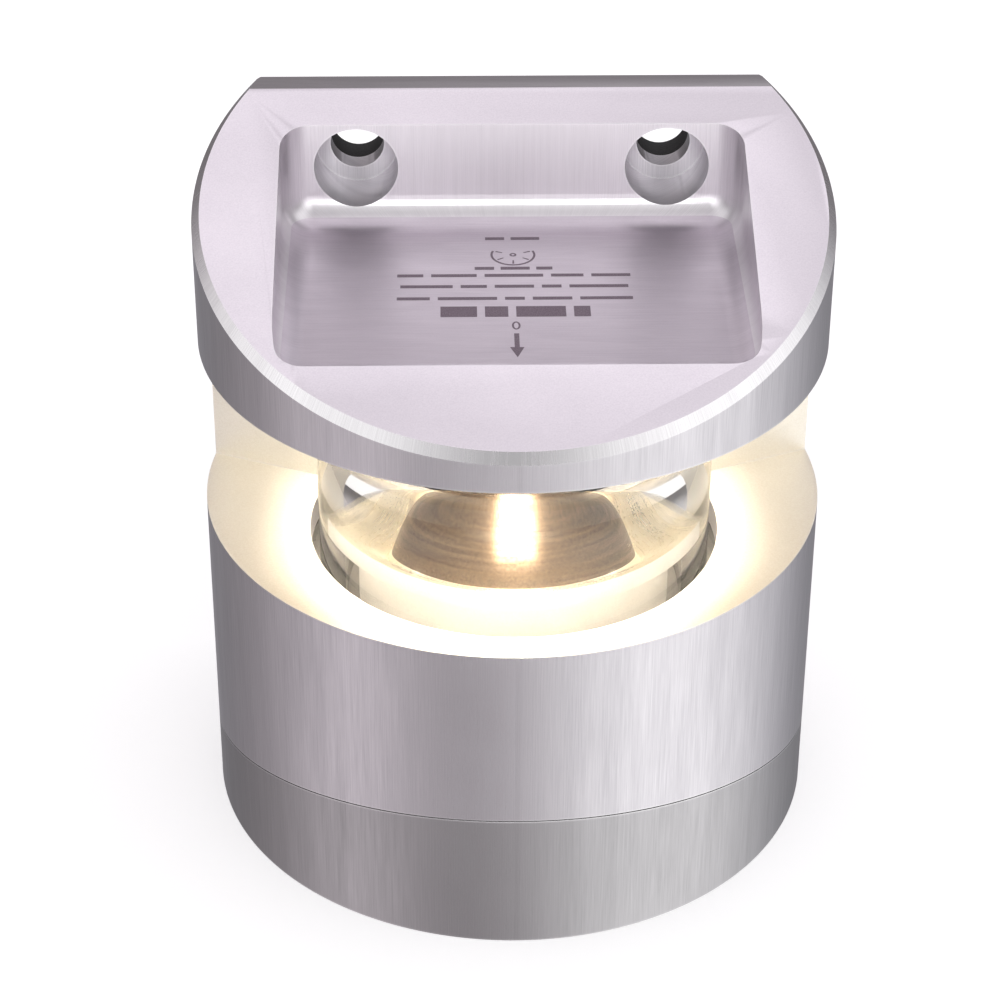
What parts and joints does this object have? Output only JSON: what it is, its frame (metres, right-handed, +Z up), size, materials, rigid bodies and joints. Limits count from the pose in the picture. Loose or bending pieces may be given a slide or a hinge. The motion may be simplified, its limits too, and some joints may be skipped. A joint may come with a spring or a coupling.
{
  "type": "navigation light",
  "caption": "Masthead light for a boat: a drum lens with LEDs between the plate and base of a machined aluminium housing, with a slanted top, a screw pocket and a flat rear mounting pad.",
  "frame": {"origin": "on the underside of the bottom cover, on the axis of the round body", "axes": "+Z up, -Y dead ahead where the middle of the light's sector points, +Y towards the mounting pad, +X to the right seen from the front"},
  "size_m": [0.098, 0.0828, 0.1123],
  "materials": {
    "housing_aluminium": "bead-blasted and clear anodised on the top, turned grain on the sides",
    "cover_aluminium": "turned and clear anodised",
    "reflector_aluminium": "fine turned, bright",
    "stainless_steel": "plain stainless",
    "lens_acrylic": "polished clear acrylic",
    "seal_rubber": "smooth nitrile",
    "pad_rubber": "matte moulded",
    "gland_nylon": "matte black nylon",
    "led_emitter": "clear dome over warm phosphor",
    "white_board": "white solder mask on a metal core",
    "green_board": "green solder mask",
    "thermal_silicone": "soft grey silicone",
    "red_insulation": "satin wire insulation",
    "black_insulation": "satin wire insulation",
    "capacitor_can": "dark sleeve over a can",
    "ferrite": "dark sintered ferrite",
    "terminal_plastic": "moulded plastic"
  },
  "bodies": {
    "root": {"housing": "housing_aluminium", "bottom_cover": "cover_aluminium", "cover_o_ring": "seal_rubber", "rear_pad": "pad_rubber", "lens": "lens_acrylic", "lens_upper_o_ring": "seal_rubber", "lens_lower_o_ring": "seal_rubber", "lens_clamp_ring": "cover_aluminium", "reflector_horn": "reflector_aluminium", "reflector_screw": "stainless_steel", "led_board": "white_board", "thermal_pad": "thermal_silicone", "led_lead_positive": "red_insulation", "led_lead_negative": "black_insulation", "driver_board": "green_board", "inductor": "ferrite", "capacitor_1": "capacitor_can", "capacitor_2": "capacitor_can", "terminal_block": "terminal_plastic", "cable_gland_body": "gland_nylon", "cable_gland_seal": "seal_rubber", "cable_gland_nut": "gland_nylon", "cover_screw_1": "stainless_steel", "cover_screw_2": "stainless_steel", "cover_screw_3": "stainless_steel", "cover_screw_4": "stainless_steel", "led_1": "led_emitter", "led_2": "led_emitter", "led_3": "led_emitter", "led_4": "led_emitter", "led_5": "led_emitter", "led_6": "led_emitter", "led_7": "led_emitter", "board_standoff_1": "stainless_steel", "board_screw_1": "stainless_steel", "board_standoff_2": "stainless_steel", "board_screw_2": "stainless_steel", "board_standoff_3": "stainless_steel", "board_screw_3": "stainless_steel"}
  },
  "joints": []
}
